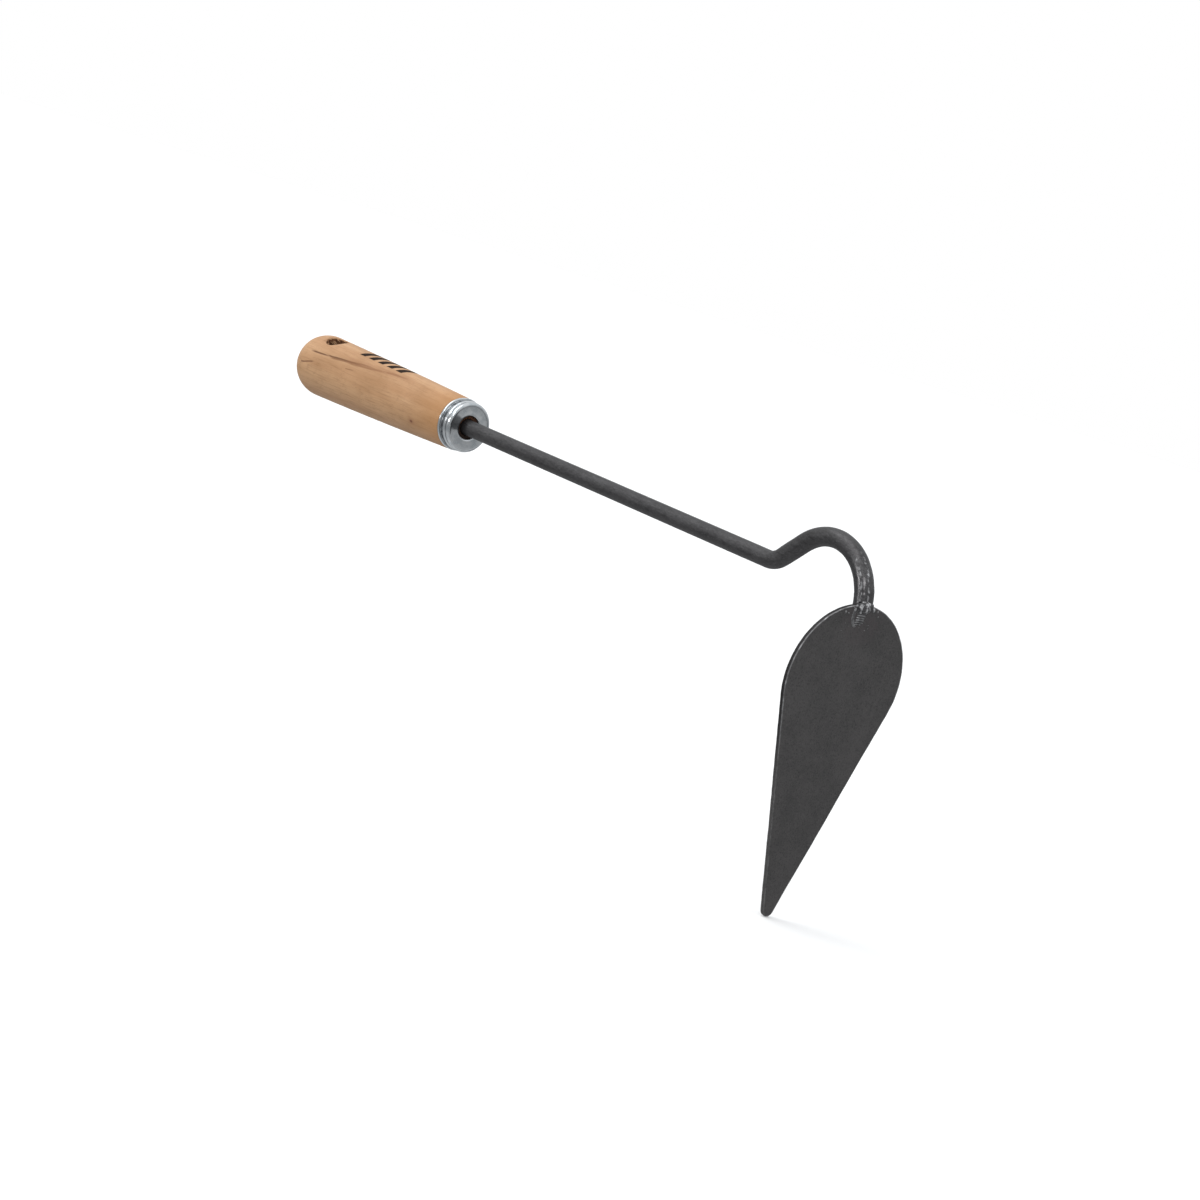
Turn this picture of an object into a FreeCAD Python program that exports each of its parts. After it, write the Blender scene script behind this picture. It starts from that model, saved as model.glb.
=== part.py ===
"""Short-handled hand hoe with a leaf-shaped blade.

A round beech handle with a zinc-plated ferrule holds the tang of a round steel shank. The shank
runs straight along +X, rises into a gooseneck and ends in a half lap behind the blade, where two
weld beads hold it. All sizes are in millimetres.

Frame: the origin is the centre of the hanging hole on the handle's axis, +X runs along the
handle towards the blade, and +Z is up, away from the blade's tip.
"""
import FreeCAD, Part
import math
import os

import Sketcher
from FreeCAD import Placement, Rotation, Vector

# alias, value in millimetres or degrees, meaning
DIMENSIONS = [
    ("hole_radius", 6.0, "hanging hole through the handle"),
    ("hole_tilt", 18.0, "hanging hole, turned about the handle's axis"),
    ("hole_edge", 0.6, "rounding of the hanging hole's mouths"),
    ("butt_overhang", 26.4, "hanging hole's centre to the butt end"),
    ("butt_radius", 16.6, "domed butt"),
    ("grip_end_radius", 13.7, "grip beside the ferrule"),
    ("belly_radius", 7000.0, "lengthwise swelling of the grip"),
    ("grip_end_x", 112.4, "start of the eased shoulder"),
    ("shoulder_x", 115.8, "end of the grip, where the ferrule starts"),
    ("shoulder_radius", 13.4, "eased shoulder at the ferrule"),
    ("seat_radius", 11.7, "tenon under the ferrule's skirt"),
    ("seat_step_x", 119.0, "step in the tenon"),
    ("tenon_radius", 11.4, "tenon under the ferrule's beads"),
    ("eye_floor_x", 122.7, "wood at the bottom of the ferrule's eye"),
    ("ferrule_face_x", 124.5, "front face of the ferrule"),
    ("lip_radius", 13.6, "rolled lip of the ferrule"),
    ("lip_round", 0.75, "rounding of the rolled lip"),
    ("skirt_radius", 12.4, "ferrule's skirt"),
    ("skirt_end_x", 119.4, "end of the skirt"),
    ("bead_radius", 12.95, "ferrule's middle bead"),
    ("bead_start_x", 120.0, "full height of the middle bead"),
    ("bead_end_x", 121.2, "end of the middle bead"),
    ("groove_radius", 12.4, "bottom of the groove between the two beads"),
    ("groove_start_x", 121.6, "full depth of the groove"),
    ("groove_end_x", 122.0, "end of the groove"),
    ("cap_start_x", 122.4, "full height of the ferrule's end bead"),
    ("cap_radius", 12.8, "ferrule's end bead"),
    ("cap_corner", 1.2, "rounded corner of the ferrule's face"),
    ("eye_radius", 5.9, "eye in the ferrule's face"),
    ("sheet", 0.9, "sheet of the ferrule's face and of the curled eye"),
    ("rod_radius", 4.0, "straight part of the shank"),
    ("tang_start_x", 108.0, "full-size end of the tang"),
    ("tang_end_x", 64.0, "small end of the tang"),
    ("tang_end_radius", 2.0, "small end of the tang"),
    ("bore_bottom_x", 62.5, "bottom of the bore for the tang"),
    ("bend_x", 358.3, "corner of the first bend, on the rod's axis"),
    ("bend_radius", 12.0, "first bend, at the bar's centre"),
    ("rise_angle", 43.2, "slope of the neck after the first bend"),
    ("rise_length", 18.2, "first bend's corner to the start of the crook"),
    ("crook_radius", 26.0, "crook of the neck, at the bar's centre"),
    ("lap_run", 3.0, "straight end of the neck behind the blade"),
    ("neck_radius", 4.25, "neck, a little upset by the bending"),
    ("blade_front_x", 418.6, "front face of the blade"),
    ("blade_thick", 2.0, "blade plate"),
    ("head_radius", 33.5, "round head of the blade"),
    ("head_z", -34.6, "centre of the blade's head"),
    ("tip_radius", 3.0, "blade's tip"),
    ("tip_distance", 102.2, "centre of the head to the centre of the tip"),
    ("blade_edge", 0.25, "broken edges of the blade"),
    ("front_bead_y", -1.6, "front weld bead, sideways from the neck"),
    ("front_bead_drop", 3.4, "front weld bead's centre below the blade's top"),
    ("front_bead_wide", 6.6, "half width of the front weld bead"),
    ("front_bead_tall", 5.6, "half height of the front weld bead"),
    ("front_bead_proud", 2.3, "front weld bead, proud of the blade"),
    ("back_bead_drop", 5.0, "back weld bead's centre below the blade's top"),
    ("back_bead_wide", 7.0, "half width of the back weld bead"),
    ("back_bead_tall", 7.4, "half height of the back weld bead"),
    ("back_bead_proud", 2.8, "back weld bead, proud of the blade"),
]

doc = FreeCAD.newDocument("hand_hoe")


def make_sheet():
    """The spreadsheet that drives every size."""
    table = doc.addObject("Spreadsheet::Sheet", "dims")
    for row, (alias, value, meaning) in enumerate(DIMENSIONS, start=1):
        table.set(f"A{row}", meaning)
        table.set(f"B{row}", str(value))
        table.setAlias(f"B{row}", alias)
    doc.recompute()
    return table


sheet = make_sheet()


def size(alias):
    """The value of a named cell, for the first position of a sketch's element."""
    return float(getattr(sheet, alias))


def make_body(name):
    """An empty body whose label names its exported file."""
    body = doc.addObject("PartDesign::Body", name)
    body.Label = name
    return body


def origin_part(body, role):
    """One of the body's own origin planes or axes, by its role."""
    return next(item for item in body.Origin.OriginFeatures if item.Role == role)


def make_sketch(body, name, role):
    """A sketch on one of the body's origin planes."""
    sketch = body.newObject("Sketcher::SketchObject", name)
    sketch.AttachmentSupport = [(origin_part(body, role), "")]
    sketch.MapMode = "FlatFace"
    return sketch


# An element of a sketch is kept as (index, first end, last end) in the outline's direction.

def add_line(sketch, start, end):
    """A straight element from start to end."""
    line = Part.LineSegment(Vector(start[0], start[1], 0), Vector(end[0], end[1], 0))
    return sketch.addGeometry(line, False), 1, 2


def add_arc(sketch, centre, radius, start, end):
    """An arc from one angle to the other in degrees, clockwise where the end is smaller."""
    circle = Part.Circle(Vector(centre[0], centre[1], 0), Vector(0, 0, 1), radius)
    low, high = sorted((math.radians(start), math.radians(end)))
    index = sketch.addGeometry(Part.ArcOfCircle(circle, low, high), False)
    return (index, 1, 2) if end > start else (index, 2, 1)


def join(sketch, before, after, kind="Coincident"):
    """Join the last end of one element to the first end of the next."""
    sketch.addConstraint(Sketcher.Constraint(kind, before[0], before[2], after[0], after[1]))


def bind(sketch, kind, *target, formula):
    """A measured constraint whose value follows a formula of the sheet's cells."""
    value = float(sketch.evalExpression(formula))
    index = sketch.addConstraint(Sketcher.Constraint(kind, *target, value))
    sketch.setExpression(f"Constraints[{index}]", formula)


def fix(sketch, element, end, across=None, up=None):
    """Hold a point of an element at formulas of the sheet, or on an axis where one is 0."""
    point = {"first": element[1], "last": element[2], "centre": 3}[end]
    for kind, formula, axis in (("DistanceX", across, -2), ("DistanceY", up, -1)):
        if formula == "0":
            sketch.addConstraint(Sketcher.Constraint("PointOnObject", element[0], point, axis))
        elif formula is not None:
            bind(sketch, kind, -1, 1, element[0], point, formula=formula)


def add_steps(sketch, corners, closed=False):
    """Straight elements through corners, each a pair of formulas that holds the corner."""
    points = [[float(sketch.evalExpression(text)) for text in corner] for corner in corners]
    if closed:
        points.append(points[0])
    lines = [add_line(sketch, start, end) for start, end in zip(points, points[1:])]
    for before, after in zip(lines, lines[1:]):
        join(sketch, before, after)
    for line, (across, up) in zip(lines, corners):
        fix(sketch, line, "first", across, up)
    if closed:
        join(sketch, lines[-1], lines[0])
    else:
        fix(sketch, lines[-1], "last", *corners[-1])
    return lines


def revolve(body, kind, name, sketch):
    """A full turn of the sketch about the body's X axis, added or cut away."""
    feature = body.newObject(kind, name)
    feature.Profile = sketch
    feature.ReferenceAxis = (origin_part(body, "X_Axis"), [""])
    feature.Angle = 360
    doc.recompute()
    return feature


def cut_through(body, name, sketch):
    """Cut the sketch's outline through the body, both ways from the sketch's plane."""
    feature = body.newObject("PartDesign::Pocket", name)
    feature.Profile = sketch
    feature.Type = "ThroughAll"
    feature.SideType = "Symmetric"
    doc.recompute()
    return feature


def check_cut(body, volume_before, name):
    """Stop if a cut took nothing away."""
    if body.Shape.Volume > volume_before - 1.0:
        raise RuntimeError(f"{name} cuts nothing")


def edge_names(shape, wanted):
    """Names of the edges whose sampled points all pass the test."""
    names = []
    for number, edge in enumerate(shape.Edges, start=1):
        if not edge.Degenerated and all(wanted(point) for point in edge.discretize(9)):
            names.append(f"Edge{number}")
    return names


BLADE_BACK = "dims.blade_front_x - dims.blade_thick"
BLADE_TOP = "dims.head_z + dims.head_radius"
CAP_BACK = "dims.ferrule_face_x - dims.sheet"
CURL_RADIUS = "dims.eye_radius + dims.sheet"
BEND_START = "dims.bend_x - dims.bend_radius * tan(dims.rise_angle * 0.5 deg)"
CROOK_START_X = "dims.bend_x + dims.rise_length * cos(dims.rise_angle * 1 deg)"
CROOK_START_Z = "dims.rise_length * sin(dims.rise_angle * 1 deg)"
LAP_X = f"{CROOK_START_X} + dims.crook_radius * (1 + sin(dims.rise_angle * 1 deg))"
LAP_END_Z = f"{CROOK_START_Z} - dims.crook_radius * cos(dims.rise_angle * 1 deg) - dims.lap_run"


def make_handle():
    """The turned grip: domed butt, faint belly, stepped tenon, tang bore and hanging hole."""
    body = make_body("handle")
    turned = make_sketch(body, "handle_outline", "XZ_Plane")
    dome_x = size("butt_radius") - size("butt_overhang")
    grip_end = (size("grip_end_x"), size("grip_end_radius"))
    dome = add_arc(turned, (dome_x, 0), size("butt_radius"), 180, 89)
    belly = size("belly_radius")
    slope = math.degrees(math.atan2(size("butt_radius") - grip_end[1], grip_end[0] - dome_x))
    half_turn = math.degrees((grip_end[0] - dome_x) / (2 * belly))
    last_angle = 90 - slope - half_turn
    belly_centre = (grip_end[0] - belly * math.cos(math.radians(last_angle)),
                    grip_end[1] - belly * math.sin(math.radians(last_angle)))
    grip = add_arc(turned, belly_centre, belly, last_angle + 2 * half_turn, last_angle)
    ease = add_line(turned, grip_end, (size("shoulder_x"), size("shoulder_radius")))
    steps = add_steps(turned, [
        ("dims.shoulder_x", "dims.shoulder_radius"),
        ("dims.shoulder_x", "dims.seat_radius"),
        ("dims.seat_step_x", "dims.seat_radius"),
        ("dims.seat_step_x", "dims.tenon_radius"),
        (CAP_BACK, "dims.tenon_radius"),
        (CAP_BACK, CURL_RADIUS),
        ("dims.eye_floor_x", CURL_RADIUS),
        ("dims.eye_floor_x", "0"),
        ("-dims.butt_overhang", "0"),
    ])
    join(turned, dome, grip, "Tangent")
    join(turned, grip, ease)
    join(turned, ease, steps[0])
    join(turned, steps[-1], dome)
    fix(turned, dome, "centre", up="0")
    bind(turned, "Radius", dome[0], formula="dims.butt_radius")
    bind(turned, "Radius", grip[0], formula="dims.belly_radius")
    fix(turned, grip, "last", "dims.grip_end_x", "dims.grip_end_radius")
    revolve(body, "PartDesign::Revolution", "handle_turned", turned)

    bore = make_sketch(body, "tang_bore_outline", "XZ_Plane")
    add_steps(bore, [
        ("dims.bore_bottom_x", "0"),
        ("dims.tang_end_x", "dims.tang_end_radius"),
        ("dims.tang_start_x", "dims.rod_radius"),
        ("dims.ferrule_face_x", "dims.rod_radius"),
        ("dims.ferrule_face_x", "0"),
    ], closed=True)
    volume = body.Shape.Volume
    revolve(body, "PartDesign::Groove", "tang_bore", bore)
    check_cut(body, volume, "the tang bore")

    hole = make_sketch(body, "hanging_hole_outline", "XY_Plane")
    hole.AttachmentOffset = Placement(Vector(0, 0, 0), Rotation(Vector(1, 0, 0), size("hole_tilt")))
    hole.setExpression("AttachmentOffset.Rotation.Angle", "dims.hole_tilt")
    circle = hole.addGeometry(Part.Circle(Vector(0, 0, 0), Vector(0, 0, 1), size("hole_radius")), False)
    hole.addConstraint(Sketcher.Constraint("Coincident", circle, 3, -1, 1))
    bind(hole, "Radius", circle, formula="dims.hole_radius")
    volume = body.Shape.Volume
    bored = cut_through(body, "hanging_hole", hole)
    check_cut(body, volume, "the hanging hole")

    tilt = math.radians(size("hole_tilt"))
    axis = Vector(0, -math.sin(tilt), math.cos(tilt))
    radius = size("hole_radius")
    mouths = edge_names(
        bored.Shape,
        lambda point: abs(point.cross(axis).Length - radius) < 1e-3 and abs(point * axis) > radius,
    )
    rounding = body.newObject("PartDesign::Fillet", "hanging_hole_mouths")
    rounding.Base = (bored, mouths)
    rounding.setExpression("Radius", "dims.hole_edge")
    doc.recompute()
    return body


def make_ferrule():
    """The pressed cap: rolled lip, skirt, two beads, flat face and curled eye."""
    body = make_body("ferrule")
    sketch = make_sketch(body, "ferrule_outline", "XZ_Plane")
    lip_centre = (size("shoulder_x") + size("lip_round"), size("lip_radius") - size("lip_round"))
    corner = (size("ferrule_face_x") - size("cap_corner"), size("cap_radius") - size("cap_corner"))
    curl = (size("ferrule_face_x") - size("sheet"), size("eye_radius") + size("sheet"))

    back = add_steps(sketch, [
        (CAP_BACK, CURL_RADIUS),
        (CAP_BACK, "dims.tenon_radius"),
        ("dims.seat_step_x", "dims.tenon_radius"),
        ("dims.seat_step_x", "dims.seat_radius"),
        ("dims.shoulder_x", "dims.seat_radius"),
        ("dims.shoulder_x", "dims.lip_radius - dims.lip_round"),
    ])
    lip = add_arc(sketch, lip_centre, size("lip_round"), 180, -40)
    skirt = add_line(sketch, (lip_centre[0] + size("lip_round"), size("skirt_radius")),
                     (size("skirt_end_x"), size("skirt_radius")))
    wall = add_steps(sketch, [
        ("dims.skirt_end_x", "dims.skirt_radius"),
        ("dims.bead_start_x", "dims.bead_radius"),
        ("dims.bead_end_x", "dims.bead_radius"),
        ("dims.groove_start_x", "dims.groove_radius"),
        ("dims.groove_end_x", "dims.groove_radius"),
        ("dims.cap_start_x", "dims.cap_radius"),
        ("dims.ferrule_face_x - dims.cap_corner", "dims.cap_radius"),
    ])
    edge = add_arc(sketch, corner, size("cap_corner"), 90, 0)
    face = add_steps(sketch, [
        ("dims.ferrule_face_x", "dims.cap_radius - dims.cap_corner"),
        ("dims.ferrule_face_x", CURL_RADIUS),
    ])
    eye = add_arc(sketch, curl, size("sheet"), 0, -90)
    inside = add_steps(sketch, [
        (CAP_BACK, "dims.eye_radius"),
        ("dims.eye_floor_x", "dims.eye_radius"),
        ("dims.eye_floor_x", CURL_RADIUS),
    ])
    end = add_line(sketch, (size("eye_floor_x"), curl[1]), curl)

    chain = [back[-1], lip, skirt, wall[0]]
    chain_after = [wall[-1], edge, face[0]]
    chain_eye = [face[-1], eye, inside[0]]
    chain_end = [inside[-1], end, back[0]]
    for elements in (chain, chain_after, chain_eye, chain_end):
        for before, after in zip(elements, elements[1:]):
            join(sketch, before, after)
    bind(sketch, "Radius", lip[0], formula="dims.lip_round")
    fix(sketch, lip, "centre", up="dims.lip_radius - dims.lip_round")
    fix(sketch, skirt, "first", up="dims.skirt_radius")
    bind(sketch, "Radius", edge[0], formula="dims.cap_corner")
    bind(sketch, "Radius", eye[0], formula="dims.sheet")
    revolve(body, "PartDesign::Revolution", "ferrule_pressed", sketch)
    return body


def make_neck_path(body):
    """Centre line of the gooseneck: bend, rise, crook and the straight lap behind the blade."""
    path = make_sketch(body, "neck_path", "XZ_Plane")
    rise_angle = size("rise_angle")
    rise = Vector(math.cos(math.radians(rise_angle)), math.sin(math.radians(rise_angle)), 0)
    bend_tangent = size("bend_radius") * math.tan(math.radians(rise_angle / 2))
    start_x = size("bend_x") - bend_tangent
    corner = Vector(size("bend_x"), 0, 0)
    crook_start = corner + rise * size("rise_length")
    crook_centre = crook_start + Vector(rise.y, -rise.x, 0) * size("crook_radius")
    lap_start = crook_centre + Vector(size("crook_radius"), 0, 0)
    lap_end = lap_start - Vector(0, size("lap_run"), 0)

    bend = add_arc(path, (start_x, size("bend_radius")), size("bend_radius"), -90, rise_angle - 90)
    climb = add_line(path, corner + rise * bend_tangent, crook_start)
    crook = add_arc(path, crook_centre, size("crook_radius"), 90 + rise_angle, 0)
    lap = add_line(path, lap_start, lap_end)
    for before, after in ((bend, climb), (climb, crook), (crook, lap)):
        join(path, before, after, "Tangent")
    fix(path, bend, "first", BEND_START, "0")
    fix(path, bend, "centre", across=BEND_START)
    bind(path, "Radius", bend[0], formula="dims.bend_radius")
    fix(path, climb, "last", CROOK_START_X, CROOK_START_Z)
    bind(path, "Radius", crook[0], formula="dims.crook_radius")
    path.addConstraint(Sketcher.Constraint("Vertical", lap[0]))
    bind(path, "Distance", lap[0], formula="dims.lap_run")
    return path


def make_section(body, name, role, offset, formula):
    """A round section of the neck, moved off an origin plane by formulas for each axis."""
    section = make_sketch(body, name, role)
    for axis, distance in offset.items():
        section.setExpression(f"AttachmentOffset.Base.{axis}", distance)
    radius = float(section.evalExpression(formula))
    circle = section.addGeometry(Part.Circle(Vector(0, 0, 0), Vector(0, 0, 1), radius), False)
    section.addConstraint(Sketcher.Constraint("Coincident", circle, 3, -1, 1))
    bind(section, "Radius", circle, formula=formula)
    return section


def make_shank():
    """The steel bar: tapered tang, straight rod, gooseneck and half-lapped end."""
    body = make_body("shank")
    turned = make_sketch(body, "rod_outline", "XZ_Plane")
    add_steps(turned, [
        ("dims.tang_end_x", "0"),
        ("dims.tang_end_x", "dims.tang_end_radius"),
        ("dims.tang_start_x", "dims.rod_radius"),
        (BEND_START, "dims.rod_radius"),
        (BEND_START, "0"),
    ], closed=True)
    revolve(body, "PartDesign::Revolution", "rod_and_tang", turned)

    path = make_neck_path(body)
    start = make_section(body, "neck_start", "YZ_Plane", {"z": BEND_START}, "dims.rod_radius")
    end = make_section(body, "neck_end", "XY_Plane", {"x": LAP_X, "z": LAP_END_Z},
                       "dims.neck_radius")
    doc.recompute()
    neck = body.newObject("PartDesign::AdditivePipe", "gooseneck")
    neck.Profile = start
    neck.Spine = path
    neck.Sections = [end]
    neck.Transformation = "Multisection"
    doc.recompute()

    notch = make_sketch(body, "lap_outline", "XZ_Plane")
    far = "dims.blade_front_x + dims.neck_radius"
    low = "dims.head_z"
    add_steps(notch, [(BLADE_BACK, BLADE_TOP), (BLADE_BACK, low), (far, low), (far, BLADE_TOP)],
              closed=True)
    volume = body.Shape.Volume
    cut_through(body, "half_lap", notch)
    check_cut(body, volume, "the half lap")
    return body


def make_blade():
    """The leaf-shaped plate, round at the head and nearly pointed at the tip."""
    body = make_body("blade")
    sketch = make_sketch(body, "blade_outline", "YZ_Plane")
    sketch.setExpression("AttachmentOffset.Base.z", BLADE_BACK)
    head_z = size("head_z")
    head_radius = size("head_radius")
    tip_z = head_z - size("tip_distance")
    tip_radius = size("tip_radius")
    lean = math.degrees(math.asin((head_radius - tip_radius) / size("tip_distance")))

    def on_circle(centre_z, radius, angle):
        turn = math.radians(angle)
        return radius * math.cos(turn), centre_z + radius * math.sin(turn)

    head = add_arc(sketch, (0, head_z), head_radius, -lean, 180 + lean)
    left = add_line(sketch, on_circle(head_z, head_radius, 180 + lean),
                    on_circle(tip_z, tip_radius, 180 + lean))
    tip = add_arc(sketch, (0, tip_z), tip_radius, 180 + lean, 360 - lean)
    right = add_line(sketch, on_circle(tip_z, tip_radius, -lean),
                     on_circle(head_z, head_radius, -lean))
    for before, after in ((head, left), (left, tip), (tip, right), (right, head)):
        join(sketch, before, after, "Tangent")
    fix(sketch, head, "centre", "0", "dims.head_z")
    bind(sketch, "Radius", head[0], formula="dims.head_radius")
    fix(sketch, tip, "centre", "0", "dims.head_z - dims.tip_distance")
    bind(sketch, "Radius", tip[0], formula="dims.tip_radius")
    plate = body.newObject("PartDesign::Pad", "plate")
    plate.Profile = sketch
    plate.setExpression("Length", "dims.blade_thick")
    doc.recompute()

    faces_x = (size("blade_front_x"), size("blade_front_x") - size("blade_thick"))
    rims = []
    for face_x in faces_x:
        rims += edge_names(plate.Shape, lambda point, face_x=face_x: abs(point.x - face_x) < 1e-6)
    broken = body.newObject("PartDesign::Chamfer", "broken_edges")
    broken.Base = (plate, rims)
    broken.setExpression("Size", "dims.blade_edge")
    doc.recompute()
    return body


def make_ellipsoid(name, centre, radii):
    """An ellipsoid at formulas for its centre and its half sizes along X, Y and Z."""
    solid = doc.addObject("Part::Ellipsoid", name)
    solid.Angle1 = -90
    solid.Angle2 = 90
    for axis, formula in zip("xyz", centre):
        solid.setExpression(f"Placement.Base.{axis}", formula)
    for radius, formula in zip(("Radius2", "Radius3", "Radius1"), radii):
        solid.setExpression(radius, formula)
    return solid


def make_half_space(name, side):
    """A block on one side of the blade's back face: 1 in front of it, -1 behind it."""
    block = doc.addObject("Part::Box", name)
    for length in ("Length", "Width", "Height"):
        block.setExpression(length, "dims.head_radius * 2")
    behind = "" if side > 0 else " - dims.head_radius * 2"
    block.setExpression("Placement.Base.x", BLADE_BACK + behind)
    block.setExpression("Placement.Base.y", "-dims.head_radius")
    block.setExpression("Placement.Base.z", "dims.head_z")
    return block


def make_bead(label, side, centre, radii, neighbours):
    """Weld metal on one side of the blade's back face, shaped around its neighbours."""
    bead = doc.addObject("Part::Common", f"{label}_blob")
    bead.Base = make_ellipsoid(f"{label}_ellipsoid", centre, radii)
    bead.Tool = make_half_space(f"{label}_side", side)
    for neighbour in neighbours:
        shaped = doc.addObject("Part::Cut", f"{label}_around_{neighbour.Label}")
        shaped.Base = bead
        shaped.Tool = neighbour
        bead = shaped
    bead.Label = label
    doc.recompute()
    return bead


def check_objects():
    """Stop if anything in the document failed to compute."""
    doc.recompute()
    for item in doc.Objects:
        if "Invalid" in item.State or "Error" in item.State:
            raise RuntimeError(f"{item.Name} is {item.State}")


def export(sub_parts):
    """Check each sub-part and write it to its own file."""
    check_objects()
    for item in sub_parts:
        if item.Shape.isNull() or not item.Shape.isValid():
            raise RuntimeError(f"{item.Label} has no valid shape")
    os.makedirs("parts", exist_ok=True)
    for item in sub_parts:
        item.Shape.exportStep(f"parts/{item.Label}.step")
        box = item.Shape.BoundBox
        print(f"{item.Label}: {len(item.Shape.Solids)} solid, {item.Shape.Volume:.0f} mm3, "
              f"x {box.XMin:.1f} to {box.XMax:.1f}, z {box.ZMin:.1f} to {box.ZMax:.1f}")


handle = make_handle()
ferrule = make_ferrule()
shank = make_shank()
blade = make_blade()
front_bead = make_bead(
    "weld_bead_front", 1,
    ("dims.blade_front_x", "dims.front_bead_y", f"{BLADE_TOP} - dims.front_bead_drop"),
    ("dims.front_bead_proud", "dims.front_bead_wide", "dims.front_bead_tall"),
    [blade, shank],
)
back_bead = make_bead(
    "weld_bead_back", -1,
    (BLADE_BACK, "0", f"{BLADE_TOP} - dims.back_bead_drop"),
    ("dims.back_bead_proud", "dims.back_bead_wide", "dims.back_bead_tall"),
    [shank],
)
export([handle, ferrule, shank, blade, front_bead, back_bead])
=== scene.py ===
"""Short-handled hand hoe with a leaf-shaped blade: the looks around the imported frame.

Shapes are worked out in millimetres in the row frame and stored in metres. The origin is the
centre of the hanging hole, +X runs to the blade and +Z is up, away from the blade's tip.
A size in capitals that the part's spreadsheet also holds has the same value as there.
"""

import math

import bmesh
import bpy
import numpy as np
from mathutils import Matrix, Vector, noise


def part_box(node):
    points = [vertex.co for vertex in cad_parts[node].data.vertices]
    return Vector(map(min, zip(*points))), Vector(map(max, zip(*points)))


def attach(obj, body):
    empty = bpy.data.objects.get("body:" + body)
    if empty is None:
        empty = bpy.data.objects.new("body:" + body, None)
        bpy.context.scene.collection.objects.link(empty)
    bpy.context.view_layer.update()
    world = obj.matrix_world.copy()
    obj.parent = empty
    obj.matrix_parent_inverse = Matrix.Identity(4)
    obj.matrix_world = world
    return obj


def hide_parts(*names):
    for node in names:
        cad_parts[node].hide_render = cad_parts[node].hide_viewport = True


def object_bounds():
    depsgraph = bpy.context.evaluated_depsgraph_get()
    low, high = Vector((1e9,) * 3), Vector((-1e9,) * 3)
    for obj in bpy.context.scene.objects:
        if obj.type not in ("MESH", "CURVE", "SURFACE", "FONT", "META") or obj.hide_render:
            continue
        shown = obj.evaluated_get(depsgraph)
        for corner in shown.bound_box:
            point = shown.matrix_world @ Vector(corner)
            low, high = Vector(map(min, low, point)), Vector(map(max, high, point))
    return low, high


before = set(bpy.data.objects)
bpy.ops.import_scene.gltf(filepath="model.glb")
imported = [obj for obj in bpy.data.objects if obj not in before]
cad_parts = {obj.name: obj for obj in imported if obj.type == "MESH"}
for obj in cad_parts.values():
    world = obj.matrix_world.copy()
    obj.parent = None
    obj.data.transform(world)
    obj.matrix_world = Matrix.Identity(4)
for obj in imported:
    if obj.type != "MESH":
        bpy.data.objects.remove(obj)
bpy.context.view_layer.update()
MM = 0.001
BODY = "root"


def box_mm(node):
    """Lowest and highest corner of a CAD node in millimetres."""
    low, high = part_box(node)
    return np.array(low) / MM, np.array(high) / MM


def srgb(red, green, blue):
    """A linear colour from 8-bit display values."""
    channels = []
    for value in (red, green, blue):
        part = value / 255.0
        channels.append(part / 12.92 if part <= 0.04045 else ((part + 0.055) / 1.055) ** 2.4)
    return (*channels, 1.0)


# ---------------------------------------------------------------- meshes

def make_piece(name, points, faces, replaces=(), materials=()):
    """A smooth-shaded piece from points in millimetres, riding on the CAD body."""
    mesh = bpy.data.meshes.new(name)
    mesh.from_pydata((np.asarray(points) * MM).tolist(), [], faces)
    mesh.validate()
    obj = bpy.data.objects.new(name, mesh)
    bpy.context.scene.collection.objects.link(obj)
    mesh.polygons.foreach_set("use_smooth", [True] * len(mesh.polygons))
    for material in materials:
        mesh.materials.append(material)
    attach(obj, BODY)
    if replaces:
        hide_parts(*replaces)
    return obj


def rough(points, scale, octaves=3, seed=0.0):
    """Fractal noise at each point; scale is the size of its lumps in millimetres."""
    shift = Vector((seed, seed * 1.7, seed * 0.3))
    return np.array([
        noise.fractal(Vector(point) / scale + shift, 1.0, 2.0, octaves) for point in points
    ])


def tube_faces(rings, around, close_start=False, close_end=False, wrap=False):
    """Quads between successive rings of points, with a fan's centre point after the rings."""
    faces = []
    last = rings if wrap else rings - 1
    for ring in range(last):
        here, there = ring * around, ((ring + 1) % rings) * around
        for step in range(around):
            after = (step + 1) % around
            faces.append((here + step, here + after, there + after, there + step))
    centre = rings * around
    if close_start:
        faces += [(step, centre, (step + 1) % around) for step in range(around)]
        centre += 1
    if close_end:
        end = (rings - 1) * around
        faces += [(end + (step + 1) % around, centre, end + step) for step in range(around)]
    return faces


def smoothstep(low, high, value):
    """0 below low, 1 above high, and smooth between."""
    part = np.clip((value - low) / (high - low), 0.0, 1.0)
    return part * part * (3.0 - 2.0 * part)


def remeshed(name, mesh, voxel_mm):
    """A mesh remade as even quads of about that size."""
    obj = bpy.data.objects.new(name, mesh)
    bpy.context.scene.collection.objects.link(obj)
    modifier = obj.modifiers.new("remesh", "REMESH")
    modifier.mode = "VOXEL"
    modifier.voxel_size = voxel_mm * MM
    graph = bpy.context.evaluated_depsgraph_get()
    made = bpy.data.meshes.new_from_object(obj.evaluated_get(graph))
    bpy.data.objects.remove(obj)
    return made


def mesh_arrays(mesh):
    """Points in millimetres and the faces of a mesh."""
    points = np.empty(len(mesh.vertices) * 3)
    mesh.vertices.foreach_get("co", points)
    return points.reshape(-1, 3) / MM, [tuple(face.vertices) for face in mesh.polygons]


def mesh_normals(mesh):
    """The normal at each vertex of a mesh."""
    return np.array([vertex.normal for vertex in mesh.vertices])


# ---------------------------------------------------------------- materials

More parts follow.
